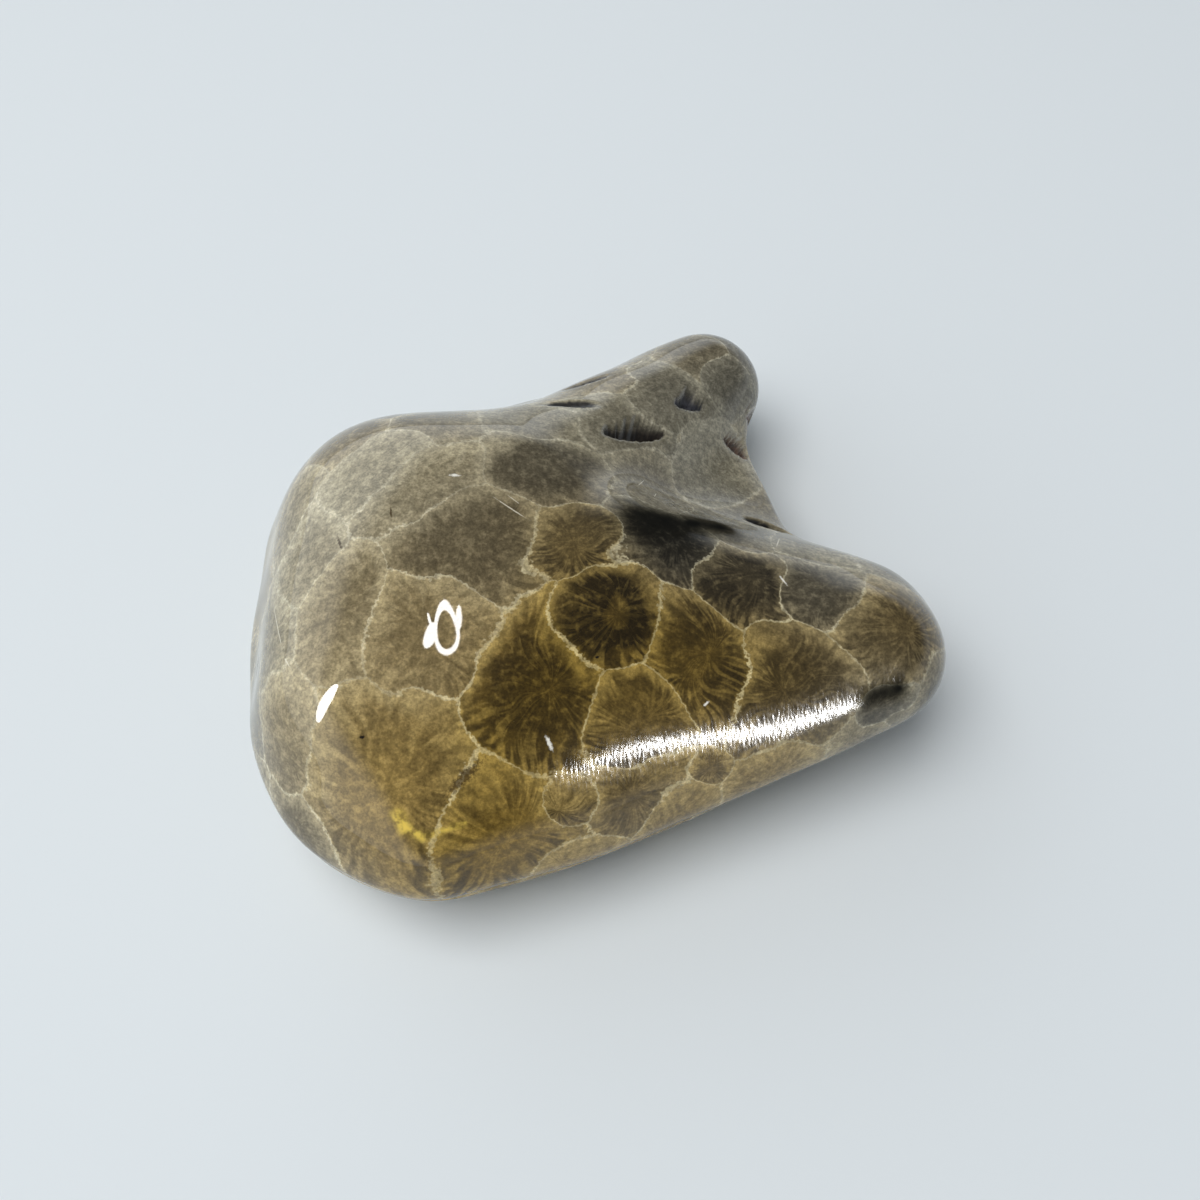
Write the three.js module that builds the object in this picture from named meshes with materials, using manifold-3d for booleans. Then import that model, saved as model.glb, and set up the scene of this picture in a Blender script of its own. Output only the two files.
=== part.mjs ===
// A fossil coral head: one polished freeform stone with three lobes, a tall left one, a long
// right arm and a narrow back knob, open slits in its saddle and a small ground face below.
// Millimetres, +Z up. The origin is on the resting face, at the middle of the stone's plan.
import * as THREE from 'three';
import { mergeVertices } from 'three/addons/utils/BufferGeometryUtils.js';
import Module from 'manifold-3d';

const wasm = await Module();
wasm.setup();

// The stone is the blend of five round cones, each the hull of two spheres, and three discs,
// which are flattened balls turned about +Z by an angle in radians.
const CONES = [
  { from: [-17, 4, 12], to: [-19, -12, 13], startRadius: 9, endRadius: 6.5 }, // left shoulder
  { from: [-13, -1, 12.5], to: [-18.5, -18, 7], startRadius: 9, endRadius: 4 }, // front nose
  { from: [-12.5, -22.5, 10], to: [23.5, -10, 11], startRadius: 4, endRadius: 5 }, // front ridge
  { from: [1.5, -5.5, 12.5], to: [23.5, -4.5, 7], startRadius: 8.5, endRadius: 4 }, // right arm
  { from: [-6, 5.5, 13], to: [12, 23, 8.5], startRadius: 7, endRadius: 4.5 }, // back knob
];
const DISCS = [
  { centre: [-5.5, -1, 7], radii: [25.5, 21, 4], turn: 0.8 }, // web between the lobes
  { centre: [-8, -12, 10.5], radii: [9, 7, 7], turn: 0.3 }, // crown that fills the saddle
  { centre: [-3, -2.5, 6], radii: [20.5, 9.5, 5], turn: -0.45 }, // sole
];
const BLEND = 3; // softness of the joins between lobes

// Every surface point is seen from CORE. Rays are spread as on a flattened ball.
const CORE = new THREE.Vector3(0, 0, 9);
const SPREAD = new THREE.Vector3(1, 0.8, 0.5);
const REACH = 50; // longer than any ray inside the stone
const HALVINGS = 36;
const DETAIL = 15;

// Weathered slits: place on the surface, size, and heading of the long side about +Z.
const SLITS = [
  { at: [4.5, 10.4, 16.9], length: 6.6, width: 2, depth: 1.3, heading: 18 },
  { at: [9.8, 15.5, 14.5], length: 3.2, width: 1.5, depth: 0.9, heading: 12 },
  { at: [14.4, 13.9, 9.9], length: 3.3, width: 1.1, depth: 0.8, heading: -16 },
  { at: [16.3, 4, 10.9], length: 4.4, width: 1.7, depth: 1.1, heading: 3 },
  { at: [-1.1, 12.8, 18.3], length: 4.8, width: 1.3, depth: 0.45, heading: 3 },
  { at: [0.2, 17.5, 15.7], length: 3.8, width: 1, depth: 0.45, heading: 20 },
  { at: [16.2, 18.1, 9.2], length: 2.8, width: 1, depth: 0.5, heading: -24 },
];
const SLIT_SIDES = 16;
const SLIT_RINGS = 8;
const GRADIENT_STEP = 0.01;
const CUTTER_SIZE = 120;

const vector = (xyz) => new THREE.Vector3(...xyz);
const cones = CONES.map((cone) => ({ ...cone, from: vector(cone.from), to: vector(cone.to) }));
const discs = DISCS.map((disc) => ({ ...disc, centre: vector(disc.centre), radii: vector(disc.radii) }));

// Distance to a round cone: to an end sphere past either end, to the slanted side between.
function coneDistance(point, { from, to, startRadius, endRadius }) {
  const axis = to.clone().sub(from);
  const length = axis.length();
  const along = point.clone().sub(from).dot(axis) / length;
  const out = Math.sqrt(Math.max(point.distanceToSquared(from) - along * along, 0));
  const sine = (startRadius - endRadius) / length;
  const cosine = Math.sqrt(1 - sine * sine);
  const reach = cosine * along - sine * out;
  if (reach < 0) return point.distanceTo(from) - startRadius;
  if (reach > cosine * length) return point.distanceTo(to) - endRadius;
  return cosine * out + sine * along - startRadius;
}

// Near-surface distance to an ellipsoid turned about +Z.
function discDistance(point, { centre, radii, turn }) {
  const local = point.clone().sub(centre);
  const cosine = Math.cos(turn);
  const sine = Math.sin(turn);
  local.set(local.x * cosine + local.y * sine, local.y * cosine - local.x * sine, local.z);
  const scaled = local.divide(radii);
  const level = scaled.length();
  const slope = scaled.divide(radii).length();
  return (level * (level - 1)) / slope;
}

// Smooth minimum of all the distances: negative inside the stone, zero on its skin.
function stoneDistance(point) {
  const distances = [
    ...cones.map((cone) => coneDistance(point, cone)),
    ...discs.map((disc) => discDistance(point, disc)),
  ];
  const nearest = Math.min(...distances);
  const sum = distances.reduce((total, d) => total + Math.exp((nearest - d) / BLEND), 0);
  return nearest - BLEND * Math.log(sum);
}

// The skin's outward normal, from central differences of the distance.
function stoneNormal(point) {
  const slope = ['x', 'y', 'z'].map((axis) => {
    const ahead = point.clone();
    const behind = point.clone();
    ahead[axis] += GRADIENT_STEP;
    behind[axis] -= GRADIENT_STEP;
    return stoneDistance(ahead) - stoneDistance(behind);
  });
  return vector(slope).normalize();
}

// The point where a ray from CORE leaves the stone, by halving.
function skinPoint(direction) {
  let inside = 0;
  let outside = REACH;
  for (let i = 0; i < HALVINGS; i++) {
    const middle = (inside + outside) / 2;
    const point = CORE.clone().addScaledVector(direction, middle);
    if (stoneDistance(point) < 0) inside = middle;
    else outside = middle;
  }
  return CORE.clone().addScaledVector(direction, inside);
}

function onlyPositions(geometry) {
  geometry.deleteAttribute('normal');
  geometry.deleteAttribute('uv');
  return mergeVertices(geometry, 1e-5);
}

function solidOf(geometry) {
  return new wasm.Manifold(
    new wasm.Mesh({
      numProp: 3,
      vertProperties: geometry.attributes.position.array,
      triVerts: new Uint32Array(geometry.index.array),
    }),
  );
}

function geometryOf(solid) {
  const { vertProperties, triVerts } = solid.getMesh();
  return new THREE.BufferGeometry()
    .setAttribute('position', new THREE.BufferAttribute(vertProperties, 3))
    .setIndex(new THREE.BufferAttribute(triVerts, 1));
}

// The whole rounded stone: a fine icosahedron pushed out to the skin.
function roundedStone() {
  const geometry = onlyPositions(new THREE.IcosahedronGeometry(1, DETAIL));
  const position = geometry.attributes.position;
  const direction = new THREE.Vector3();
  for (let i = 0; i < position.count; i++) {
    direction.fromBufferAttribute(position, i).multiply(SPREAD).normalize();
    position.setXYZ(i, ...skinPoint(direction));
  }
  return solidOf(geometry);
}

// A lens-shaped cutter centred on the skin, its long side along the heading.
function slitCutter({ at, length, width, depth, heading }) {
  const place = vector(at);
  const normal = stoneNormal(place);
  place.addScaledVector(normal, -stoneDistance(place));
  const angle = THREE.MathUtils.degToRad(heading);
  const side = normal.clone().cross(new THREE.Vector3(Math.cos(angle), Math.sin(angle), 0)).normalize();
  const long = side.clone().cross(normal);
  const frame = new THREE.Matrix4().makeBasis(long, side, normal).setPosition(place);
  const lens = onlyPositions(new THREE.SphereGeometry(1, SLIT_SIDES, SLIT_RINGS));
  return solidOf(lens.scale(length / 2, width / 2, depth).applyMatrix4(frame));
}

// Everything below the resting plane.
function groundCutter() {
  const box = onlyPositions(new THREE.BoxGeometry(CUTTER_SIZE, CUTTER_SIZE, CUTTER_SIZE));
  return solidOf(box.translate(0, 0, -CUTTER_SIZE / 2));
}

function stoneGeometry() {
  const cutters = [groundCutter(), ...SLITS.map(slitCutter)];
  const solid = cutters.reduce((rest, cutter) => rest.subtract(cutter), roundedStone());
  const geometry = geometryOf(solid);
  geometry.computeBoundingBox();
  const middle = geometry.boundingBox.getCenter(new THREE.Vector3());
  return geometry.translate(-middle.x, -middle.y, -geometry.boundingBox.min.z);
}

const polishedCoral = new THREE.MeshStandardMaterial({
  color: 0x786a4c,
  roughness: 0.15,
  metalness: 0,
});

const stone = new THREE.Mesh(stoneGeometry(), polishedCoral);
stone.name = 'fossil_coral_head';

const head = new THREE.Group();
head.add(stone);

export default head;
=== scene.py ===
"""Fossil coral head: a polished three-lobed stone of fossil colonial coral.

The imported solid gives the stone's place and size. This script makes the fine skin of
the same stone, with its weathered slits, lays out its coral cells over that skin, and
gives it the stone's finish. The stone is worked out in millimetres and made in metres.
"""

import math

import bpy
import numpy as np
from mathutils import Euler, Matrix, Vector


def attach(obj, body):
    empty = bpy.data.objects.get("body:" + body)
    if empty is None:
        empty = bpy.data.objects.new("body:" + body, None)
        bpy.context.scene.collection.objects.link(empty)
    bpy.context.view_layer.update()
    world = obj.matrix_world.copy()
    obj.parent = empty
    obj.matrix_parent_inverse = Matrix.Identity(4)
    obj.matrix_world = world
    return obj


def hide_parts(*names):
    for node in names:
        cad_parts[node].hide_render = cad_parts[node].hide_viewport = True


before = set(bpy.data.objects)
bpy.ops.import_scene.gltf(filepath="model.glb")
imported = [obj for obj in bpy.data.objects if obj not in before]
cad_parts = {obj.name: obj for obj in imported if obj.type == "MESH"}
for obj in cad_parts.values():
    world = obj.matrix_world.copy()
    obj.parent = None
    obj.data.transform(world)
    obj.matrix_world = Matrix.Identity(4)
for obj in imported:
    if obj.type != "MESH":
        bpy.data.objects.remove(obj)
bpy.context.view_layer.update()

MM = 0.001
SEED = 7

# ---------------------------------------------------------------- the stone's shape

# Round cones, the hulls of two spheres: start, end, start radius, end radius.
CONES = (
    ((-17, 4, 12), (-19, -12, 13), 9, 6.5),  # left shoulder
    ((-13, -1, 12.5), (-18.5, -18, 7), 9, 4),  # front nose
    ((-12.5, -22.5, 10), (23.5, -10, 11), 4, 5),  # front ridge
    ((1.5, -5.5, 12.5), (23.5, -4.5, 7), 8.5, 4),  # right arm
    ((-6, 5.5, 13), (12, 23, 8.5), 7, 4.5),  # back knob
)
# Flattened balls turned about +Z: centre, radii, turn in radians.
DISCS = (
    ((-5.5, -1, 7), (25.5, 21, 4), 0.8),  # web between the lobes
    ((-8, -12, 10.5), (9, 7, 7), 0.3),  # crown that fills the saddle
    ((-3, -2.5, 6), (20.5, 9.5, 5), -0.45),  # sole
)
BLEND = 3.0  # softness of the joins between lobes
CORE = np.array((0.0, 0.0, 9.0))  # every point of the skin is seen from here
SPREAD = np.array((1.0, 0.8, 0.5))  # rays are spread as on a flattened ball
REACH = 50.0
HALVINGS = 30
LATTICE = 128  # squares along each side of the six-sided ball
FOOT_ROUNDING = 0.5  # edge radius of the ground resting face

# Weathered slits: place, length, width, depth, heading of the long side in degrees.
SLITS = (
    ((4.5, 10.4, 16.9), 6.6, 1.75, 1.3, 15),
    ((9.8, 15.5, 14.5), 3.3, 1.05, 0.8, 6),
    ((14.4, 13.9, 9.9), 3.3, 1.1, 0.8, -16),
    ((16.3, 4, 10.9), 4.4, 1.7, 1.1, 3),
    ((-1.1, 12.8, 18.3), 4.8, 1.3, 0.45, 3),
    ((0.2, 17.5, 15.7), 3.8, 1.0, 0.45, 20),
    ((16.2, 18.1, 9.2), 2.8, 1.0, 0.5, -24),
)
SLIT_LIP = 0.25  # rounding of a slit's rim
RUFFLE = 0.02  # waviness of a slit's outline, as a share of its width
POLISH_WAVE = 0.035  # height of the slow waves left by hand grinding
WAVES = 8  # how many plane waves make them up


def cone_distance(points, start, end, start_radius, end_radius):
    """Distance to a round cone: out from the slanted side, or from an end ball past either end."""
    start, end = np.array(start, float), np.array(end, float)
    length = np.linalg.norm(end - start)
    away = points - start
    along = away @ (end - start) / length
    out = np.sqrt(np.maximum((away**2).sum(1) - along**2, 0))
    sine = (start_radius - end_radius) / length
    cosine = math.sqrt(1 - sine * sine)
    reach = cosine * along - sine * out
    side = cosine * out + sine * along - start_radius
    first_ball = np.linalg.norm(away, axis=1) - start_radius
    last_ball = np.linalg.norm(points - end, axis=1) - end_radius
    return np.where(reach < 0, first_ball, np.where(reach > cosine * length, last_ball, side))


def disc_distance(points, centre, radii, turn):
    """Near distance to an ellipsoid: level (level - 1) / slope, in its own turned axes."""
    x, y, z = (points - np.array(centre, float)).T
    cosine, sine = math.cos(turn), math.sin(turn)
    local = np.stack((x * cosine + y * sine, y * cosine - x * sine, z), 1) / np.array(radii)
    level = np.linalg.norm(local, axis=1) + 1e-9
    slope = np.linalg.norm(local / np.array(radii), axis=1) + 1e-9
    return level * (level - 1) / slope


def smooth_max(a, b, radius):
    """The larger of two distances, with the corner between them rounded by radius."""
    near = np.maximum(radius - np.abs(a - b), 0) / radius
    return np.maximum(a, b) + near * near * radius / 4


def lobes_distance(points):
    """Smooth minimum over the lobes: -BLEND log of the sum of exp(-distance / BLEND)."""
    every = [cone_distance(points, *cone) for cone in CONES]
    every += [disc_distance(points, *disc) for disc in DISCS]
    every = np.stack(every)
    nearest = every.min(0)
    return nearest - BLEND * np.log(np.exp((nearest - every) / BLEND).sum(0))


def gradient(points, distance, step=0.01):
    """Unit outward direction at each point, from central differences of a distance."""
    slope = np.stack(
        [distance(points + step * axis) - distance(points - step * axis) for axis in np.eye(3)], 1
    )
    return slope / np.linalg.norm(slope, axis=1, keepdims=True)


def polish_wave(points):
    """Slow waves of hand grinding: a sum of seeded plane sine waves, 7 to 15 mm long."""
    rng = np.random.default_rng(SEED)
    total = np.zeros(len(points))
    for wavelength in np.linspace(7, 15, WAVES):
        heading = rng.normal(size=3)
        heading *= 2 * math.pi / wavelength / np.linalg.norm(heading)
        total += np.sin(points @ heading + rng.uniform(0, 2 * math.pi))
    return total * POLISH_WAVE / math.sqrt(WAVES / 2)


def slit_frame(place, heading):
    """Long side, short side and outward normal of a slit, with its place moved on to the skin."""
    place = np.array([place], float)
    normal = gradient(place, lobes_distance)[0]
    place = place[0] - normal * lobes_distance(place)[0]
    angle = math.radians(heading)
    side = np.cross(normal, (math.cos(angle), math.sin(angle), 0))
    side /= np.linalg.norm(side)
    return place, np.stack((np.cross(side, normal), side, normal))


SLIT_FRAMES = [slit_frame(slit[0], slit[4]) for slit in SLITS]


def slit_distance(points, number):
    """Near distance to one slit's lens, its outline ruffled by short sine waves."""
    _, length, width, depth, _ = SLITS[number]
    place, axes = SLIT_FRAMES[number]
    local = (points - place) @ axes.T
    ruffle = np.sin(local[:, 0] * 5.1 + number) + np.sin(local[:, 0] * 8.7 + local[:, 2] * 6)
    local[:, 1] += ruffle * RUFFLE * width
    local /= np.array((length / 2, width / 2, depth))
    return (np.linalg.norm(local, axis=1) - 1) * width / 2


def stone_distance(points):
    """The lobes with their waves, cut by the resting plane and by every slit."""
    distance = lobes_distance(points) + polish_wave(points)
    distance = smooth_max(distance, -points[:, 2], FOOT_ROUNDING)
    for number in range(len(SLITS)):
        distance = smooth_max(distance, -slit_distance(points, number), SLIT_LIP)
    return distance


def ball_lattice(squares):
    """Six square grids on a cube, seams merged, each step evened out by a tangent.

    Corner (i, j, k) counts 0 to squares along each side of the cube, and lies at
    tan(pi / 4 (2 i / squares - 1)) along each axis. Returns directions and quads.
    """
    i, j = np.meshgrid(np.arange(squares + 1), np.arange(squares + 1), indexing="ij")
    i, j = i.ravel(), j.ravel()
    corners, quads = [], []
    number = np.arange((squares + 1) ** 2).reshape(squares + 1, squares + 1)
    ring = np.stack((number[:-1, :-1], number[1:, :-1], number[1:, 1:], number[:-1, 1:]), -1)
    for axis in range(3):
        for end in (0, squares):
            corner = np.empty((len(i), 3), int)
            corner[:, axis] = end
            corner[:, (axis + 1) % 3] = i
            corner[:, (axis + 2) % 3] = j
            faces = ring.reshape(-1, 4) + len(corners) * len(i)
            quads.append(faces if end else faces[:, ::-1])
            corners.append(corner)
    merged, place = np.unique(np.concatenate(corners), axis=0, return_inverse=True)
    quads = place.reshape(-1)[np.concatenate(quads)]
    directions = np.tan(math.pi / 4 * (2 * merged / squares - 1))
    return directions / np.linalg.norm(directions, axis=1, keepdims=True), quads


def skin_points(directions):
    """Where rays from CORE leave the stone: the crossing is halved down along every ray at once."""
    rays = directions * SPREAD
    rays /= np.linalg.norm(rays, axis=1, keepdims=True)
    inside = np.zeros(len(rays))
    outside = np.full(len(rays), REACH)
    for _ in range(HALVINGS):
        middle = (inside + outside) / 2
        within = stone_distance(CORE + rays * middle[:, None]) < 0
        inside = np.where(within, middle, inside)
        outside = np.where(within, outside, middle)
    return CORE + rays * inside[:, None]


# ---------------------------------------------------------------- the coral cells

# Cells that show on the top of the stone: place, radius, stretch and its heading in degrees,
# firmness (how round its outline holds against its neighbours), then the cell's tone: dark
# middle, honey, paler heart inside the dark, and pallor, each 0 to 1.
CELLS = (
    ((1.5, -10.5, 21), 4.5, 1.0, 0, 2.2, 1.3, 0.9, 0.7, 0.0),
    ((9, -13, 18), 4.8, 1.35, 100, 1.3, 0.6, 0.9, 0.2, 0.0),
    ((-4, -16, 19), 6.3, 1.3, 75, 1.3, 0.85, 0.95, 0.1, 0.0),
    ((3, -18, 16.5), 4.3, 1.1, 0, 2.0, 0.4, 0.85, 0.1, 0.05),
    ((12.5, -6, 18), 4.2, 1.1, -20, 2.2, 0.9, 0.5, 0.2, 0.0),
    ((15.5, -15.5, 16.5), 5.3, 1.15, 0, 1.6, 0.6, 0.75, 0.1, 0.0),
    ((6.5, -3, 20), 4.9, 1.3, 0, 1.7, 1.0, 0.1, 0.0, 0.0),
    ((19, -6, 16.5), 4.0, 1.0, 0, 1.6, 0.65, 0.2, 0.1, 0.05),
    ((25, -10.5, 16.5), 4.9, 1.0, 0, 1.2, 0.5, 0.75, 0.1, 0.05),
    ((23, -16, 13.5), 2.7, 1.3, 20, 2.0, 0.8, 0.0, 0.3, 0.2),
    ((-3, 3.5, 21.5), 4.9, 1.2, 0, 1.8, 0.8, 0.25, 0.2, 0.2),
    ((5.5, 5, 16.5), 4.6, 1.1, -20, 1.8, 0.3, 0.2, 0.2, 0.4),
    ((12, 9.5, 11), 4.9, 1.0, 0, 1.5, 0.3, 0.0, 0.1, 0.4),
    ((-1, -4.5, 22), 4.2, 1.3, 0, 1.8, 0.6, 0.7, 0.1, 0.05),
    ((-9, -4.5, 22.5), 6.0, 1.2, 0, 1.8, 0.65, 0.4, 0.3, 0.25),
    ((-12.5, -11, 20.5), 5.0, 1.0, 0, 2.0, 0.25, 0.65, 0.1, 0.45),
    ((-16.2, -22.5, 15.6), 7.3, 1.0, 0, 1.4, 0.1, 0.85, 0.0, 0.25),
    ((-6.4, -25.4, 12.8), 6.4, 1.0, 20, 1.8, 0.15, 1.0, 0.0, 0.08),
    ((-2.5, -23.5, 14.2), 2.4, 1.0, 0, 1.2, 0.4, 0.8, 0.0, 0.15),
    ((-2, -26.5, 8.5), 4.2, 1.4, 15, 1.5, 0.2, 0.9, 0.1, 0.6),
    ((14.5, -20.5, 10.5), 4.3, 1.4, 10, 1.2, 0.2, 0.8, 0.0, 0.45),
    ((3, -21.8, 12.6), 4.4, 1.4, 15, 1.4, 0.5, 0.75, 0.0, 0.2),
    ((8.8, -20.5, 13.5), 2.0, 1.0, 0, 1.2, 0.4, 0.8, 0.0, 0.3),
    ((6, -23.5, 8), 4.4, 1.6, 15, 1.4, 0.2, 0.9, 0.0, 0.5),
    ((-14.5, -26, 3), 4.6, 1.2, 0, 1.4, 0.2, 0.85, 0.0, 0.4),
    ((-21.5, -21, 3), 4.4, 1.2, 60, 1.4, 0.2, 0.8, 0.0, 0.45),
    ((-17, 2.5, 23), 4.4, 1.5, 40, 1.3, 0.3, 0.1, 0.1, 0.75),
    ((-13, 0.5, 23.5), 4.8, 1.5, 20, 1.5, 0.35, 0.25, 0.1, 0.6),
    ((-19, -9.5, 21.5), 4.6, 1.4, 65, 1.3, 0.3, 0.45, 0.1, 0.45),
    ((-22.5, -4, 20.5), 4.4, 1.3, 60, 1.3, 0.35, 0.15, 0.1, 0.75),
    ((-23.5, -17.5, 15), 4.8, 1.3, 100, 1.3, 0.3, 0.45, 0.1, 0.45),
    ((-25.5, -9.5, 17), 4.6, 1.3, 80, 1.3, 0.3, 0.15, 0.1, 0.5),
    ((14, 19.5, 13), 3.4, 1.0, 0, 1.5, 0.4, 0.0, 0.1, 0.12),
    ((7.5, 17, 15.5), 4.2, 1.0, 0, 1.3, 0.4, 0.05, 0.1, 0.2),
    ((-4.5, 9.5, 20.5), 4.8, 1.4, 0, 1.2, 0.4, 0.1, 0.1, 0.6),
    ((3, 11, 18), 4.6, 1.3, 0, 1.2, 0.4, 0.05, 0.1, 0.4),
)
WILD_SPACING = 6.6  # cells elsewhere are seeded no closer than this
WILD_RADIUS = 4.6
FARTHEST = 0.94  # a seed is drawn from the points this near to the widest gap
ALONG_SHARE = 0.4  # how far a cell's column counts its own length as distance
RANKS = 4  # nearest cells that need slots of their own
WOBBLE = 0.16  # height of the waves that bend the walls
HUE_REACH = 5  # a cell lends its tones to the skin round it over this distance
OWN_TONE = np.array((0.85, 0.3, 0.9, 0.25))  # the share of each tone that is the cell's own

# Small marks: kind, two ends and half width. The kinds are 0 pale scratch, 1 painted glint
# (a tiny white highlight painted on), 2 dark pit and 3 rusty streak.
MARKS = (
    (0, (-7.3, -0.6, 22.7), (-4.7, -2.4, 22.1), 0.07),
    (0, (-6.3, -0.2, 22.5), (-5.3, -1.0, 22.3), 0.05),
    (0, (-24.2, -11.3, 18.4), (-22.8, -13.7, 19.2), 0.06),
    (0, (-25.6, -6, 17), (-23.6, -12.4, 18.8), 0.05),
    (0, (4.6, 4.2, 17.6), (5.4, 5.6, 16.8), 0.05),
    (0, (6.6, 4.6, 16.9), (6.2, 3.6, 17.4), 0.05),
    (0, (16.9, 1.2, 14.4), (16.1, -1.1, 16), 0.06),
    # kind 1: painted glints, tiny white highlights painted on
    (1, (15.7, -5.1, 17.2), (16.2, -6.1, 17.2), 0.12),
    (1, (-3.5, -19.1, 17.2), (-3.1, -19.9, 16.8), 0.2),
    (1, (-10.8, 1.3, 23.3), (-10.1, 1.3, 23.2), 0.16),
    (1, (8.6, -16.6, 16.6), (9, -16.3, 16.7), 0.12),
    (2, (0.4, -13.6, 19.4), (0.6, -13.6, 19.4), 0.12),
    (2, (-17.4, -19, 18), (-17.1, -19, 18), 0.14),
    (3, (-10.9, -22.9, 16), (-8.6, -20.8, 16.8), 0.5),
    (3, (-19.6, -3.5, 22), (-19.2, -4.6, 22), 0.16),
    (3, (-15.4, -1.6, 23.3), (-15.2, -2.9, 23.2), 0.12),
)
MARK_NEAR = 1.5  # a mark is drawn no farther than this from its middle line
RIDGE = ((-0.5, -20.5, 16), (25, -14.7, 14.2))  # the ridge keeps a finer, unpolished grain
RIDGE_REACH = (2.2, 4.2)  # the grain fades out between these distances from the ridge
STAINS = (  # dark stains that take less polish: two ends and half width
    ((4.6, -1.6, 20.2), (6.6, -1.2, 19.4), 3.3),
    ((6.6, -0.9, 19.2), (11.2, 0.4, 16.2), 2.4),
    ((21.9, -15.3, 14.6), (24.4, -14.6, 14.4), 1.1),
)
PAINTED_GLINT_STROKES = (  # painted glint: a golden streak of light painted on the nose as strokes: two ends and half width
    ((-14.7, -24.3, 15.2), (-14.2, -25.0, 14.8), 0.5),
    ((-14.2, -25.0, 14.8), (-12.8, -25.7, 14.5), 0.32),
    ((-12.8, -25.7, 14.5), (-9.8, -24.8, 14.8), 0.18),
)
PAINTED_GLINT_FADE = (0.1, 1.8)  # full up to the first, gone past the second, in half widths
STAIN_FADE = (0.1, 1.3)
DULL_FADE = (0.5, 1.8)


def segment_distance(points, start, end):
    """Distance to a straight segment."""
    start, end = np.array(start, float), np.array(end, float)
    share = np.clip((points - start) @ (end - start) / ((end - start) ** 2).sum(), 0, 1)
    return np.linalg.norm(points - start - share[:, None] * (end - start), axis=1)


def wobbled(points):
    """Points moved by slow plane sine waves, 2.5 to 8 mm long, so that straight walls bend."""
    rng = np.random.default_rng(SEED + 1)
    moved = points.copy()
    for wavelength in np.linspace(2.5, 8, 10):
        heading = rng.normal(size=3)
        heading *= 2 * math.pi / wavelength / np.linalg.norm(heading)
        push = rng.normal(size=3) * WOBBLE * wavelength / 5
        moved += np.sin(points @ heading + rng.uniform(0, 2 * math.pi))[:, None] * push
    return moved


def wild_cells(skin, taken, radii, rng):
    """Seeds for the rest of the skin: the point farthest from every seed so far, again and again.

    A placed cell keeps the others off in step with its own radius.
    """
    away = [np.linalg.norm(skin - place, axis=1) / radius for place, radius in zip(taken, radii)]
    gap = np.min(away, axis=0) * WILD_RADIUS
    seeds = []
    while gap.max() > WILD_SPACING:
        far = np.flatnonzero(gap > FARTHEST * gap.max())
        seed = skin[rng.choice(far)]
        seeds.append(seed)
        gap = np.minimum(gap, np.linalg.norm(skin - seed, axis=1))
    return seeds


def wild_looks(count, rng):
    """Radius, stretch, heading, firmness and the four tones of each seeded cell."""
    lows = (0.88, 1.0, 0, 1.2, 0.25, 0.05, 0.0, 0.2)
    highs = (1.12, 1.4, 180, 1.9, 0.8, 0.5, 0.5, 0.6)
    looks = rng.uniform(lows, highs, (count, 8))
    looks[:, 0] *= WILD_RADIUS
    return looks


def cell_coordinates(skin, seed, normal, look):
    """Places across and along a cell's column, in cell radii, raised to the cell's firmness.

    The two axes across lie nearest to +X and +Y, and the stretch squeezes them by the same
    share that it draws the other way. The wall lies about 1 from the column's middle.
    """
    radius, stretch, heading, firmness = look[:4]
    across = np.array((1, 0.1, 0.1)) - normal * (normal @ (1, 0.1, 0.1))
    across /= np.linalg.norm(across)
    place = (skin - seed) @ np.stack((across, np.cross(normal, across), normal * ALONG_SHARE)).T
    angle = math.radians(heading)
    turn = np.array(((math.cos(angle), math.sin(angle)), (-math.sin(angle), math.cos(angle))))
    squeeze = turn.T @ np.diag((stretch**-0.5, stretch**0.5)) @ turn
    place[:, :2] = place[:, :2] @ squeeze
    place /= radius
    length = np.linalg.norm(place, axis=1, keepdims=True)
    return place * length ** (firmness - 1)


def slots_for(order, count):
    """Gives each cell a slot that no cell near it has, the most crowded cells first."""
    near = np.zeros((count, count), bool)
    for a in range(order.shape[0]):
        for b in range(order.shape[0]):
            near[order[a], order[b]] = True
    np.fill_diagonal(near, False)
    slot = np.full(count, -1)
    for cell in np.argsort(-near.sum(1), kind="stable"):
        used = set(slot[near[cell]])
        slot[cell] = next(number for number in range(count) if number not in used)
    return slot


def lay_out_cells(skin):
    """For each slot, the coordinates, number and tones of its nearest cell, all over the skin."""
    rng = np.random.default_rng(SEED)
    seeds = [np.array(cell[0], float) for cell in CELLS]
    wild = wild_cells(skin, seeds, [cell[1] for cell in CELLS], rng)
    looks = np.concatenate([[cell[1:] for cell in CELLS], wild_looks(len(wild), rng)])
    seeds = np.array(seeds + wild)
    normals = gradient(seeds, lobes_distance)
    seeds -= normals * lobes_distance(seeds)[:, None]
    bent = wobbled(skin)
    places = [cell_coordinates(bent, *cell) for cell in zip(seeds, normals, looks)]
    places = np.stack(places).astype(np.float32)
    distance = np.linalg.norm(places, axis=2)
    order = np.argsort(distance, axis=0)[:RANKS]
    slot = slots_for(order, len(seeds))
    weights = np.stack([np.exp(-(((skin - seed) / HUE_REACH) ** 2).sum(1)) for seed in seeds])
    around = (weights / weights.sum(0)).T @ looks[:, 4:]
    table = []
    for number in range(slot.max() + 1):
        members = np.flatnonzero(slot == number)
        nearest = members[distance[members].argmin(0)]
        place = places[nearest, np.arange(len(skin))]
        tone = OWN_TONE * looks[nearest, 4:] + (1 - OWN_TONE) * around
        table.append((np.column_stack((place, nearest)), tone))
    return table


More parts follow.
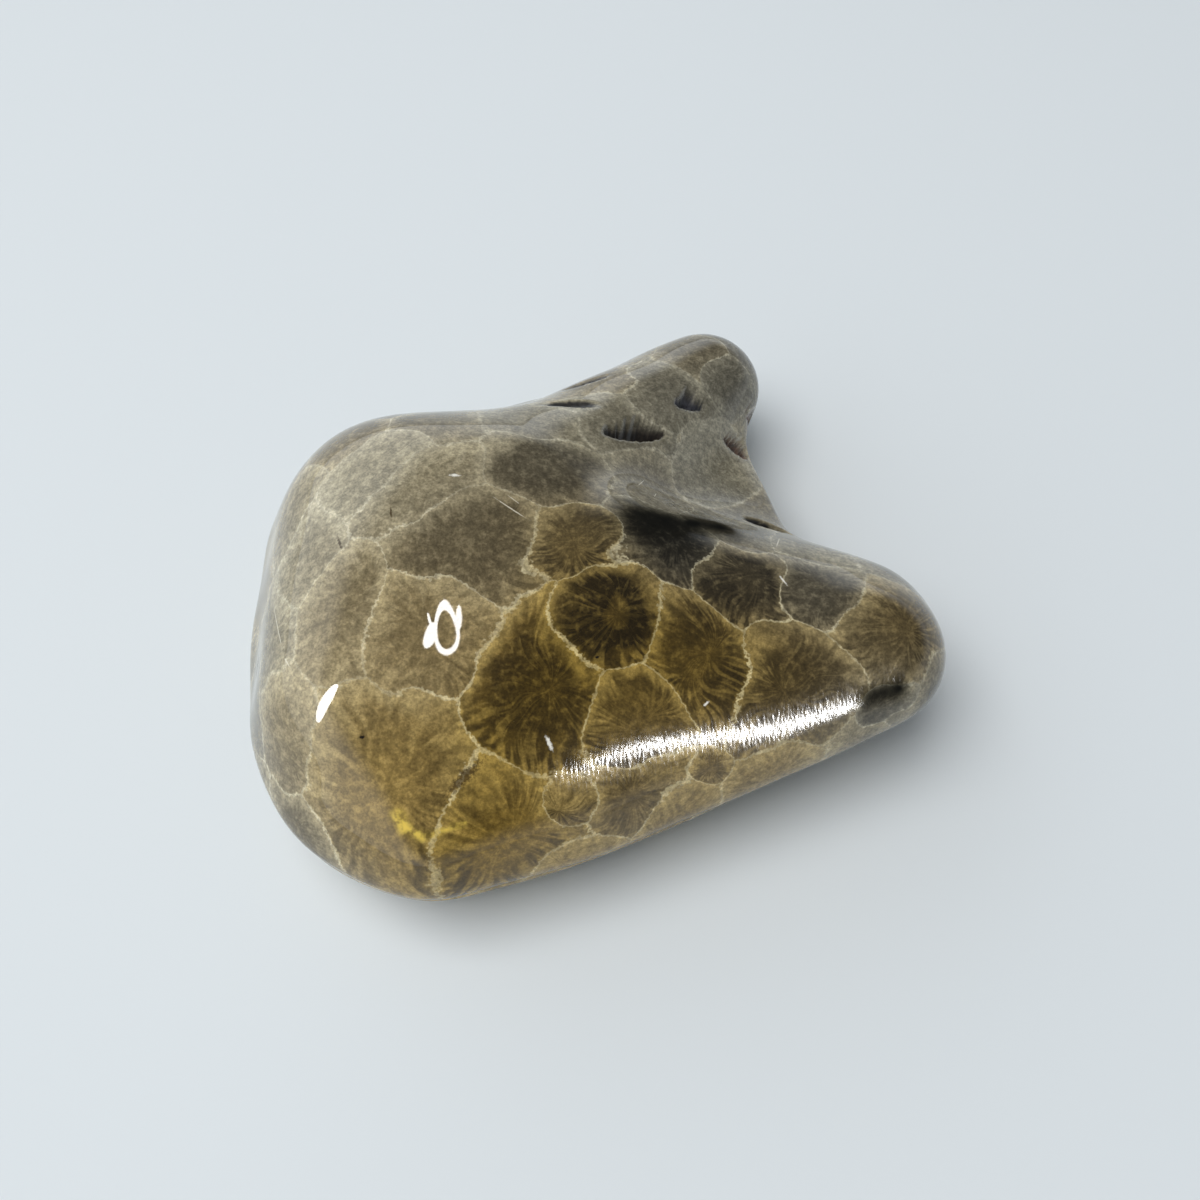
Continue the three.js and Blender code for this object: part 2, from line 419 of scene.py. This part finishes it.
def lay_out_marks(skin):
    """Places along and across the nearest mark, each 1 at its rim, with its kind and number."""
    ends = np.array([mark[1:3] for mark in MARKS], float)
    middles = ends.mean(1)
    normals = gradient(middles, lobes_distance)
    long_side = ends[:, 1] - ends[:, 0]
    half = np.linalg.norm(long_side, axis=1, keepdims=True) / 2
    widths = np.array([[mark[3]] for mark in MARKS])
    along = long_side / half / 2 / (half + widths)
    across = np.cross(normals, along)
    across /= np.linalg.norm(across, axis=1, keepdims=True) * widths
    distance = [segment_distance(skin, *pair) for pair in ends]
    nearest = np.argmin(distance, axis=0)
    away = skin - middles[nearest]
    place = ((away * along[nearest]).sum(1), (away * across[nearest]).sum(1))
    kinds = np.array([mark[0] for mark in MARKS])[nearest]
    near = np.min(distance, axis=0) < MARK_NEAR
    return np.column_stack((*place, kinds, np.where(near, nearest, -1)))


# ---------------------------------------------------------------- the stone's mesh

SLIT_TINTS = (  # the matrix inside each slit, as it looks on screen, 0 to 255
    (40, 34, 28),
    (58, 58, 64),
    (96, 66, 44),
    (14, 12, 10),
    (52, 49, 46),
    (38, 34, 30),
    (104, 70, 58),
)
SUNK_FULL = 0.22  # a slit's floor is bare matrix from this depth
ABOVE_FOOT = 1.5  # the ground foot lies below this height, and every slit above it


def colour(red, green, blue):
    """A colour given as it looks on screen, 0 to 255, in the linear values that a shader takes."""
    share = np.array((red, green, blue)) / 255
    linear = np.where(share <= 0.04045, share / 12.92, ((share + 0.055) / 1.055) ** 2.4)
    return (*map(float, linear), 1.0)


def slit_finish(skin):
    """The nearest slit's tint, with how far each point lies below the stone's round skin."""
    sunk = np.clip((-lobes_distance(skin) - polish_wave(skin)) / SUNK_FULL, 0, 1)
    middles = np.array([place for place, _ in SLIT_FRAMES])
    nearest = np.argmin([np.linalg.norm(skin - middle, axis=1) for middle in middles], axis=0)
    tints = np.array([colour(*tint)[:3] for tint in SLIT_TINTS])[nearest]
    return np.column_stack((tints, np.where(skin[:, 2] > ABOVE_FOOT, sunk, 0)))


def fade(distance, near, far):
    """1 up to the near distance, falling smoothly to 0 at the far one."""
    share = np.clip((far - distance) / (far - near), 0, 1)
    return share * share * (3 - 2 * share)


def reach_from(skin, strokes):
    """Distance to the nearest of some strokes, in half widths of that stroke."""
    return np.min([segment_distance(skin, *ends) / width for *ends, width in strokes], axis=0)


def skin_finish(skin):
    """How ridged, stained and dull the skin is at each point, and how strong the painted golden
    glint is there, each 0 to 1.
    """
    ridged = fade(segment_distance(skin, *RIDGE), *RIDGE_REACH)
    stain = reach_from(skin, STAINS)
    # painted glint: where the golden streak of light is painted, 0 to 1
    golden = fade(reach_from(skin, PAINTED_GLINT_STROKES), *PAINTED_GLINT_FADE)
    return np.column_stack((ridged, fade(stain, *STAIN_FADE), fade(stain, *DULL_FADE), golden))


def stone_mesh():
    """The stone's skin as one mesh, with its cells, marks, slits and finish as attributes."""
    directions, quads = ball_lattice(LATTICE)
    skin = skin_points(directions)
    table = lay_out_cells(skin)
    fields = {
        "mark": lay_out_marks(skin),
        "slit": slit_finish(skin),
        "finish": skin_finish(skin),
    }
    for number, (place, tone) in enumerate(table):
        fields[f"cell_{number}"] = place
        fields[f"tone_{number}"] = tone
    low, high = skin.min(0), skin.max(0)
    shift = np.array((-(low[0] + high[0]) / 2, -(low[1] + high[1]) / 2, -low[2]))
    mesh = bpy.data.meshes.new("fossil_coral_skin")
    mesh.from_pydata(((skin + shift) * MM).tolist(), [], quads.tolist())
    mesh.shade_smooth()
    for name, values in fields.items():
        layer = mesh.attributes.new(name, "FLOAT_COLOR", "POINT")
        layer.data.foreach_set("color", values.astype(np.float32).ravel())
    return mesh, len(table)


# ---------------------------------------------------------------- node helpers


class Graph:
    """Short ways to add nodes to a tree. A plain value is set on a socket, a socket is linked."""

    def __init__(self, tree):
        self.tree = tree

    def node(self, kind, *inputs, **settings):
        """A shader node with its first inputs and its settings filled in."""
        made = self.tree.nodes.new("ShaderNode" + kind)
        for name, value in settings.items():
            setattr(made, name, value)
        for socket, value in zip(made.inputs, inputs):
            self.put(socket, value)
        return made

    def put(self, socket, value):
        """Links a socket to a value that is a socket, and otherwise sets it."""
        if isinstance(value, bpy.types.NodeSocket):
            self.tree.links.new(value, socket)
        else:
            socket.default_value = value

    def math(self, operation, *inputs):
        """The result of one Math node."""
        return self.node("Math", *inputs, operation=operation).outputs[0]

    def times(self, first, *others):
        """The product of numbers."""
        for other in others:
            first = self.math("MULTIPLY", first, other)
        return first

    def vector(self, operation, *inputs):
        """The result of one Vector Math node, a number where the operation gives one."""
        made = self.node("VectorMath", operation=operation)
        for socket, value in zip(made.inputs, inputs):
            self.put(socket, value)
        return made.outputs["Value" if operation in ("LENGTH", "DOT_PRODUCT") else "Vector"]

    def scaled(self, vector, scale):
        """A vector or colour times a number."""
        made = self.node("VectorMath", vector, operation="SCALE")
        self.put(made.inputs["Scale"], scale)
        return made.outputs["Vector"]

    def joined(self, *numbers):
        """Three numbers as a vector."""
        return self.node("CombineXYZ", *numbers).outputs[0]

    def parts(self, vector):
        """The three numbers of a vector."""
        return self.node("SeparateXYZ", vector).outputs

    def step(self, value, low, high, start=0.0, end=1.0):
        """A smooth step from start, where the value is low, to end, where it is high."""
        made = self.node("MapRange", value, low, high, start, end)
        made.interpolation_type = "SMOOTHSTEP"
        return made.outputs[0]

    def mixed(self, kind, sockets, output, factor, first, second):
        """The result of one Mix node of a data type, given the places of its sockets."""
        made = self.node("Mix", data_type=kind)
        for socket, value in zip(sockets, (factor, first, second)):
            self.put(made.inputs[socket], value)
        return made.outputs[output]

    def blend(self, factor, first, second):
        """A mix of two colours."""
        return self.mixed("RGBA", (0, 6, 7), 2, factor, first, second)

    def between(self, factor, first, second):
        """A mix of two numbers."""
        return self.mixed("FLOAT", (0, 2, 3), 0, factor, first, second)

    def steer(self, factor, first, second):
        """A mix of two vectors."""
        return self.mixed("VECTOR", (0, 4, 5), 1, factor, first, second)

    def noise(self, place, scale, detail=2.0, roughness=0.5):
        """Noise from 0 to 1, read at a place."""
        made = self.node("TexNoise", place)
        made.inputs["Scale"].default_value = scale
        made.inputs["Detail"].default_value = detail
        made.inputs["Roughness"].default_value = roughness
        return made.outputs[0]

    def attribute(self, name):
        """The outputs of a mesh attribute."""
        return self.node("Attribute", attribute_name=name).outputs


# ---------------------------------------------------------------- the stone's finish

GRAINS = {  # waves a metre, detail and roughness of the stone's mottling
    "grain": (4600, 2, 0.7),
    "mottle": (1500, 2, 0.6),
    "cloud": (420, 2, 0.5),
    "drift": (120, 1, 0.5),
}
TOO_FAR = 9.0  # farther than any cell that counts, in cell radii
WALL_HALF_GAP = 3.2  # millimetres a cell radius at a wall, by the usual firmness
WALL_WIDEST = 0.08  # half width of the solid part of the thickest wall, in millimetres
WALL_EDGE = 0.11  # and of its soft edge
JAG_WAVES = 3200  # waves a metre that jag a wall
JAG_HEIGHT = 0.5
FIBRES = 8.5  # size of the ring on which the radial fibres are drawn
FIBRE_TURN = 5.7  # how far the ring moves through the noise from one cell to the next
FIBRE_CURL = 2.2  # and from a cell's middle to its wall

# Tones as they look on screen, 0 to 255: of a grey, a honey, a pale and a pale honey cell.
BODY = ((112, 111, 102), (132, 103, 24), (186, 178, 150), (194, 164, 100))
RIM = ((144, 142, 128), (168, 137, 54), (210, 203, 178), (212, 186, 128))
DARK = ((42, 41, 37), (42, 31, 6), (112, 104, 84), (118, 94, 48))
WALL = ((166, 163, 148), (200, 180, 122), (224, 216, 190), (222, 206, 168))
STAIN_TINT = (24, 24, 22)
# the colour of the painted golden glint
PAINTED_GLINT_TINT = (236, 204, 92)
MARK_TINTS = ((214, 206, 184), (236, 232, 220), (26, 20, 14), (58, 42, 22))  # by kind, the second being the white of a painted glint
MARK_STRENGTHS = (0.9, 1.0, 1.0, 0.8)

POLISH = (0.03, 0.07)  # roughness of the polish, from its clearest to its cloudiest
RIDGE_ROUGHNESS = 0.1  # added on the ridge
BARE_ROUGHNESS = 0.35  # added inside the slits
STONE_IOR = 1.55
FULL_SHINE = 0.5  # specular level of the polish, which falls to 0 on the stains
BRUSH_WAVES = 4200  # waves a metre of the ridge's grain
BRUSH_STRETCH = (1.0, 0.35, 0.35)  # the grain is finest along X, so it runs across the ridge
BRUSH_DEPTH = 0.000016  # metres


def nearest_cells(g, slots):
    """The nearest cell's distance, place, tone, pallor and number, and the next one's distance
    and number, kept while running through the slots.

    A slot whose cell changes within a face has a broken number there, and is passed over.
    """
    nearest, second = TOO_FAR, TOO_FAR
    place, tone, pallor = (TOO_FAR, TOO_FAR, TOO_FAR), (0, 0, 0), 0.0
    number, second_number = -1.0, -2.0
    for slot in range(slots):
        cell = g.attribute(f"cell_{slot}")
        look = g.attribute(f"tone_{slot}")
        index = cell["Alpha"]
        broken = g.math("GREATER_THAN", g.math("PINGPONG", index, 0.5), 0.02)
        distance = g.vector("LENGTH", cell["Color"])
        distance = g.math("MULTIPLY_ADD", broken, TOO_FAR, distance)
        closer = g.math("LESS_THAN", distance, nearest)
        runner_up = g.math("LESS_THAN", distance, second)
        second_number = g.between(closer, g.between(runner_up, second_number, index), number)
        second = g.math("MINIMUM", second, g.math("MAXIMUM", nearest, distance))
        nearest = g.math("MINIMUM", nearest, distance)
        place = g.steer(closer, place, cell["Color"])
        tone = g.steer(closer, tone, look["Color"])
        pallor = g.between(closer, pallor, look["Alpha"])
        number = g.between(closer, number, index)
    return nearest, second, place, tone, pallor, number, second_number


def coral_colour(g, here, noises, slots):
    """The cells' colour: bodies, paler rims, dark middles, radial fibres and cream walls."""
    nearest, second, place, tone, pallor, number, second_number = nearest_cells(g, slots)
    shade, honey, heart = g.parts(tone)
    grain, mottle, cloud, drift = noises

    # Fibres are noise read round a ring, so they streak out from the cell's middle.
    outward = g.vector("NORMALIZE", g.vector("MULTIPLY", place, (1, 1, 0)))
    above = g.step(g.parts(outward)[1], -0.6, 0.5)
    deep = g.math("MULTIPLY_ADD", number, FIBRE_TURN, g.times(nearest, FIBRE_CURL))
    ring = g.vector("ADD", g.scaled(outward, FIBRES), g.joined(0.0, 0.0, deep))
    fibre = g.step(g.noise(ring, 1.0, 1, 0.5), 0.28, 0.72)

    # The millimetres in from the wall, moved to and fro by the same jag on both sides of it.
    side = g.math("MULTIPLY_ADD", g.math("GREATER_THAN", number, second_number), 2.0, -1.0)
    gap = g.times(g.math("SUBTRACT", second, nearest), WALL_HALF_GAP / 2)
    jag = g.noise(here, JAG_WAVES, 1, 0.5)
    jag = g.math("MULTIPLY_ADD", jag, JAG_HEIGHT, -JAG_HEIGHT / 2)
    inner = g.math("MULTIPLY_ADD", jag, side, gap)

    # Walls: thicker and clearer in places, and fainter between grey cells and pale ones.
    width = g.step(cloud, 0.35, 0.7, 0.0, WALL_WIDEST)
    wall = g.step(g.math("SUBTRACT", g.math("ABSOLUTE", inner), width), 0.0, WALL_EDGE, 1.0, 0.0)
    clear = g.step(g.math("MULTIPLY_ADD", mottle, 0.5, drift), 0.6, 0.9, 0.55, 1.0)
    faint = g.math("MULTIPLY_ADD", pallor, -0.6, g.step(honey, 0.0, 0.3, 0.65, 1.0))
    wall = g.times(wall, clear, faint)

    # Rims: a pale fringe of fibre ends, widest above the middle, with dark teeth below it.
    reach = g.math("MULTIPLY_ADD", fibre, -0.8, inner)
    halo = g.times(g.step(reach, -0.3, 1.5, 1.0, 0.0), g.step(above, 0.0, 1.0, 0.35, 1.0))
    halo = g.times(halo, g.step(honey, 0.0, 0.7, 0.5, 0.85))
    calm = g.math("MULTIPLY_ADD", halo, -0.55, 1.0)
    hazy = g.step(g.math("MULTIPLY_ADD", honey, -0.5, pallor), -0.4, 0.2, 1.0, 0.25)
    hazy = g.times(hazy, calm)
    teeth = g.times(g.step(inner, 0.1, 0.3), g.step(inner, 0.6, 1.7, 1.0, 0.0))
    teeth = g.times(teeth, g.step(above, 0.2, 0.8, 1.0, 0.0), g.step(fibre, 0.25, 0.75, 1.0, 0.15))

    # Middles: a dark smudge with frayed edges, in some cells round a paler heart.
    frayed = g.math("MULTIPLY_ADD", g.math("SUBTRACT", fibre, 0.5), -0.3, nearest)
    frayed = g.math("MULTIPLY_ADD", g.math("SUBTRACT", cloud, 0.5), 0.7, frayed)
    hollow = g.times(g.step(nearest, 0.02, 0.2, 1.0, 0.0), heart)
    hollow = g.math("MULTIPLY_ADD", hollow, -0.6, 1.0)
    smudge = g.times(g.step(frayed, 0.35, 0.95, 1.0, 0.0), hollow, shade, calm)
    streak = g.times(g.step(nearest, 0.05, 0.5, 0.25, 0.68), g.math("SUBTRACT", 1.0, fibre))
    crest = g.times(g.step(nearest, 0.2, 0.8, 0.08, 0.42), g.step(fibre, 0.6, 1.0))

    def tinted(grey, golden, pale, tan):
        """A tone between four, by the cell's honey and its pallor."""
        plain = g.blend(honey, colour(*grey), colour(*golden))
        return g.blend(pallor, plain, g.blend(honey, colour(*pale), colour(*tan)))

    body, rim, dark, cream = (tinted(*tones) for tones in (BODY, RIM, DARK, WALL))
    for share, tint in (
        (g.step(drift, 0.35, 0.75, 0.0, 0.35), dark),
        (halo, rim),
        (smudge, dark),
        (g.times(streak, hazy), dark),
        (g.times(crest, hazy), rim),
        (g.times(teeth, hazy, 0.8), dark),
        (g.step(mottle, 0.5, 0.85, 0.0, 0.25), rim),
        (wall, cream),
    ):
        body = g.blend(share, body, tint)
    light = g.times(g.step(grain, 0.25, 0.75, 0.72, 1.26), g.step(mottle, 0.3, 0.7, 0.76, 1.22))
    return g.scaled(body, light)


def with_marks(g, body, grain):
    """Draws the small marks, some of them painted glints: each an oval with a grainy edge, in its
    kind's tint.
    """
    mark = g.attribute("mark")
    along, across, kind = g.parts(mark["Color"])
    reach = g.vector("LENGTH", g.joined(along, across, 0.0))
    reach = g.math("ADD", reach, g.math("MULTIPLY_ADD", grain, 1.4, -0.7))
    whole = g.math("LESS_THAN", g.math("PINGPONG", mark["Alpha"], 0.5), 0.02)
    drawn = g.times(g.step(reach, 0.4, 1.1, 1.0, 0.0), whole)
    drawn = g.times(drawn, g.math("GREATER_THAN", mark["Alpha"], -0.5))
    for number, (tint, strength) in enumerate(zip(MARK_TINTS, MARK_STRENGTHS)):
        chosen = g.math("COMPARE", kind, float(number), 0.3)
        body = g.blend(g.times(drawn, chosen, strength), body, colour(*tint))
    return body


def polished_coral(slots):
    """Olive-brown fossil coral under a high polish, with its stains, a painted golden glint, marks
    and slits.
    """
    material = bpy.data.materials.new("polished_coral")
    material.use_nodes = True
    g = Graph(material.node_tree)
    shader = material.node_tree.nodes["Principled BSDF"]
    here = g.node("TexCoord").outputs["Object"]
    noises = [g.noise(here, *settings) for settings in GRAINS.values()]
    grain, mottle, cloud, _ = noises
    finish, slit = g.attribute("finish"), g.attribute("slit")
    ridge, stain, dull = g.parts(finish["Color"])

    body = coral_colour(g, here, noises, slots)
    stain = g.times(stain, g.step(cloud, 0.25, 0.6, 0.8, 1.0))
    body = g.blend(stain, body, colour(*STAIN_TINT))
    # painted glint: a golden streak of light mixed into the colour
    painted_glint = g.times(finish["Alpha"], g.step(mottle, 0.35, 0.65, 0.15, 0.9))
    body = g.blend(painted_glint, body, colour(*PAINTED_GLINT_TINT))
    body = with_marks(g, body, grain)
    bare = g.step(slit["Alpha"], 0.0, 0.8)
    matrix = g.scaled(slit["Color"], g.step(mottle, 0.3, 0.7, 0.35, 1.2))
    g.put(shader.inputs["Base Color"], g.blend(bare, body, matrix))

    roughness = g.step(mottle, 0.3, 0.8, *POLISH)
    roughness = g.math("MULTIPLY_ADD", ridge, RIDGE_ROUGHNESS, roughness)
    roughness = g.math("MULTIPLY_ADD", bare, BARE_ROUGHNESS, roughness)
    g.put(shader.inputs["Roughness"], roughness)
    shine = g.math("MULTIPLY_ADD", dull, -FULL_SHINE, FULL_SHINE)
    g.put(shader.inputs["Specular IOR Level"], shine)
    shader.inputs["IOR"].default_value = STONE_IOR

    brushed = g.noise(g.vector("MULTIPLY", here, BRUSH_STRETCH), BRUSH_WAVES, 1)
    bump = g.node("Bump")
    bump.inputs["Distance"].default_value = BRUSH_DEPTH
    g.put(bump.inputs["Strength"], ridge)
    g.put(bump.inputs["Height"], brushed)
    g.put(shader.inputs["Normal"], bump.outputs[0])
    return material


# ---------------------------------------------------------------- light, floor and camera

CAMERA_PLACE = (0.001, -0.055, 0.096)
CAMERA_PITCH = 58.6  # degrees below level
CAMERA_ROLL = 1.84
CAMERA_LENS = 34.3
FLOOR_HALF = 1.5  # metres
FLOOR_TINT = (224, 229, 231)
FLOOR_ROUGHNESS = 0.7
BACKDROP_RADIUS = 1.45
BACKDROP_HEIGHT = 3
BACKDROP_SIDES = 64
BACKDROP_TINT = (214, 221, 226)
LAMP_AIM = (0, 0, 0.012)  # the stone's middle
GLOW = 20
GLOWS = (  # middle, two half sizes and the open share of each glowing oval, in millimetres
    ((-10.6, -11.3, 26), (0.95, 0, 0), (0, 2.3, 0), 0.72),
    ((-11.8, -11.7, 26), (0.5, 0.2, 0), (0.1, 1.1, 0), 0),
    ((-11.9, -10.4, 26), (0.12, 0, 0), (-0.15, 0.5, 0), 0),
    ((-9.65, -10.2, 26), (0.24, 0, 0), (0.15, 1, 0), 0),
    ((-27.5, -21.8, 26.6), (1.1, -0.6, 0.45), (2.8, 3.1, 4.2), 0),
)
GLOW_SIDES = 48
DARK_SIDE = (0.9, -0.3, 1)  # the room darkens this way
ROOM_TINT = (228, 236, 244)
DARK_TINT = (74, 76, 78)
ROOM_LIGHT = 1.45


def add_to_scene(name, data):
    """A new object in the scene, at the origin."""
    made = bpy.data.objects.new(name, data)
    bpy.context.scene.collection.objects.link(made)
    return made


def set_camera():
    """The camera in front of the stone, looking steeply down at it."""
    data = bpy.data.cameras.new("camera")
    data.lens = CAMERA_LENS
    data.sensor_width = 36
    data.clip_start = 0.005
    camera = add_to_scene("camera", data)
    turn = Euler((math.radians(90 - CAMERA_PITCH), 0, 0)).to_matrix()
    turn = turn @ Matrix.Rotation(math.radians(-CAMERA_ROLL), 3, "Z")
    camera.matrix_world = Matrix.Translation(CAMERA_PLACE) @ turn.to_4x4()
    bpy.context.scene.camera = camera


def plain_material(name, **values):
    """A material of constant values, each given by its socket's name with _ for a space."""
    material = bpy.data.materials.new(name)
    material.use_nodes = True
    shader = material.node_tree.nodes["Principled BSDF"]
    for socket, value in values.items():
        shader.inputs[socket.replace("_", " ")].default_value = value
    return material


def glowing(name, tint, strength):
    """A matt black material that only glows."""
    return plain_material(
        name,
        Base_Color=(0, 0, 0, 1),
        Specular_IOR_Level=0,
        Emission_Color=tint,
        Emission_Strength=strength,
    )


def band_faces(first, second):
    """Quads between two closed loops of vertex numbers."""
    return np.stack((first, np.roll(first, -1), np.roll(second, -1), second), 1).tolist()


def hide_from(thing, *kinds):
    """Hides an object from some kinds of ray."""
    for kind in kinds:
        setattr(thing, "visible_" + kind, False)


def add_floor():
    """A plain pale matt floor."""
    mesh = bpy.data.meshes.new("floor")
    corners = [(x * FLOOR_HALF, y * FLOOR_HALF, 0) for x, y in ((-1, -1), (1, -1), (1, 1), (-1, 1))]
    mesh.from_pydata(corners, [], [(0, 1, 2, 3)])
    finish = {"Base_Color": colour(*FLOOR_TINT), "Roughness": FLOOR_ROUGHNESS}
    mesh.materials.append(plain_material("pale_floor", Specular_IOR_Level=0, **finish))
    add_to_scene("floor", mesh)


def add_backdrop():
    """A pale round wall at the floor's edge that only the camera sees."""
    angle = np.linspace(0, 2 * math.pi, BACKDROP_SIDES, endpoint=False)
    ring = np.stack((np.cos(angle), np.sin(angle), np.zeros(BACKDROP_SIDES)), 1) * BACKDROP_RADIUS
    here = np.arange(BACKDROP_SIDES)
    mesh = bpy.data.meshes.new("backdrop")
    corners = np.concatenate((ring, ring + (0, 0, BACKDROP_HEIGHT)))
    mesh.from_pydata(corners.tolist(), [], band_faces(here, here + BACKDROP_SIDES))
    mesh.materials.append(glowing("pale_wall", colour(*BACKDROP_TINT), 1))
    wall = add_to_scene("backdrop", mesh)
    hide_from(wall, "diffuse", "glossy", "transmission", "volume_scatter", "shadow")


def add_lamp(name, direction, distance, width, length, along, power):
    """A rectangular lamp that faces the stone, its length turned nearest to along."""
    data = bpy.data.lights.new(name, "AREA")
    data.shape = "RECTANGLE"
    data.size = width
    data.size_y = length
    data.energy = power
    lamp = add_to_scene(name, data)
    away = Vector(direction).normalized()
    across = Vector(along).cross(away).normalized()
    turn = Matrix((across, away.cross(across), away)).transposed()
    lamp.matrix_world = Matrix.Translation(away * distance + Vector(LAMP_AIM)) @ turn.to_4x4()
    lamp.visible_camera = False
    return lamp


def add_glows():
    """Flat glowing ovals close to the crown and the left shoulder, seen only in the polish."""
    angle = np.linspace(0, 2 * math.pi, GLOW_SIDES, endpoint=False)[:, None]
    corners, faces = [], []
    for middle, wide, tall, open_share in GLOWS:
        loop = np.cos(angle) * wide + np.sin(angle) * tall
        here = len(corners) * GLOW_SIDES + np.arange(GLOW_SIDES)
        corners.extend((loop + middle, loop * open_share + middle))
        faces.extend(band_faces(here, here + GLOW_SIDES))
    mesh = bpy.data.meshes.new("glows")
    mesh.from_pydata((np.concatenate(corners) * MM).tolist(), [], faces)
    mesh.materials.append(glowing("glow", (1, 1, 1, 1), GLOW))
    glows = add_to_scene("glows", mesh)
    hide_from(glows, "camera", "diffuse", "shadow")


def set_world():
    """A pale room behind and to the left, darker overhead, in front and to the right."""
    world = bpy.data.worlds.new("pale_room")
    world.use_nodes = True
    g = Graph(world.node_tree)
    direction = g.node("TexCoord").outputs["Generated"]
    share = g.step(g.vector("DOT_PRODUCT", direction, DARK_SIDE), -0.05, 0.4)
    share = g.times(share, g.step(g.parts(direction)[2], -0.05, 0.35, 0.35, 1.0))
    background = world.node_tree.nodes["Background"]
    g.put(background.inputs["Color"], g.blend(share, colour(*ROOM_TINT), colour(*DARK_TINT)))
    background.inputs["Strength"].default_value = ROOM_LIGHT
    bpy.context.scene.world = world


# ---------------------------------------------------------------- putting it together

bpy.context.scene.view_settings.view_transform = "Standard"
set_camera()
add_floor()
add_backdrop()
set_world()
overhead = add_lamp("overhead_lamp", (-0.3, -0.1, 0.95), 0.8, 0.6, 0.6, (0, 1, 0), 5.0)
hide_from(overhead, "glossy")
strip = add_lamp("strip_lamp", (0.51, -0.73, 0.446), 0.35, 0.012, 0.27, (0.4, -0.14, -0.68), 1.0)
hide_from(strip, "diffuse")
add_glows()

mesh, slots = stone_mesh()
mesh.materials.append(polished_coral(slots))
stone = add_to_scene("fossil_coral_stone", mesh)
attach(stone, "root")
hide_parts("fossil_coral_head")
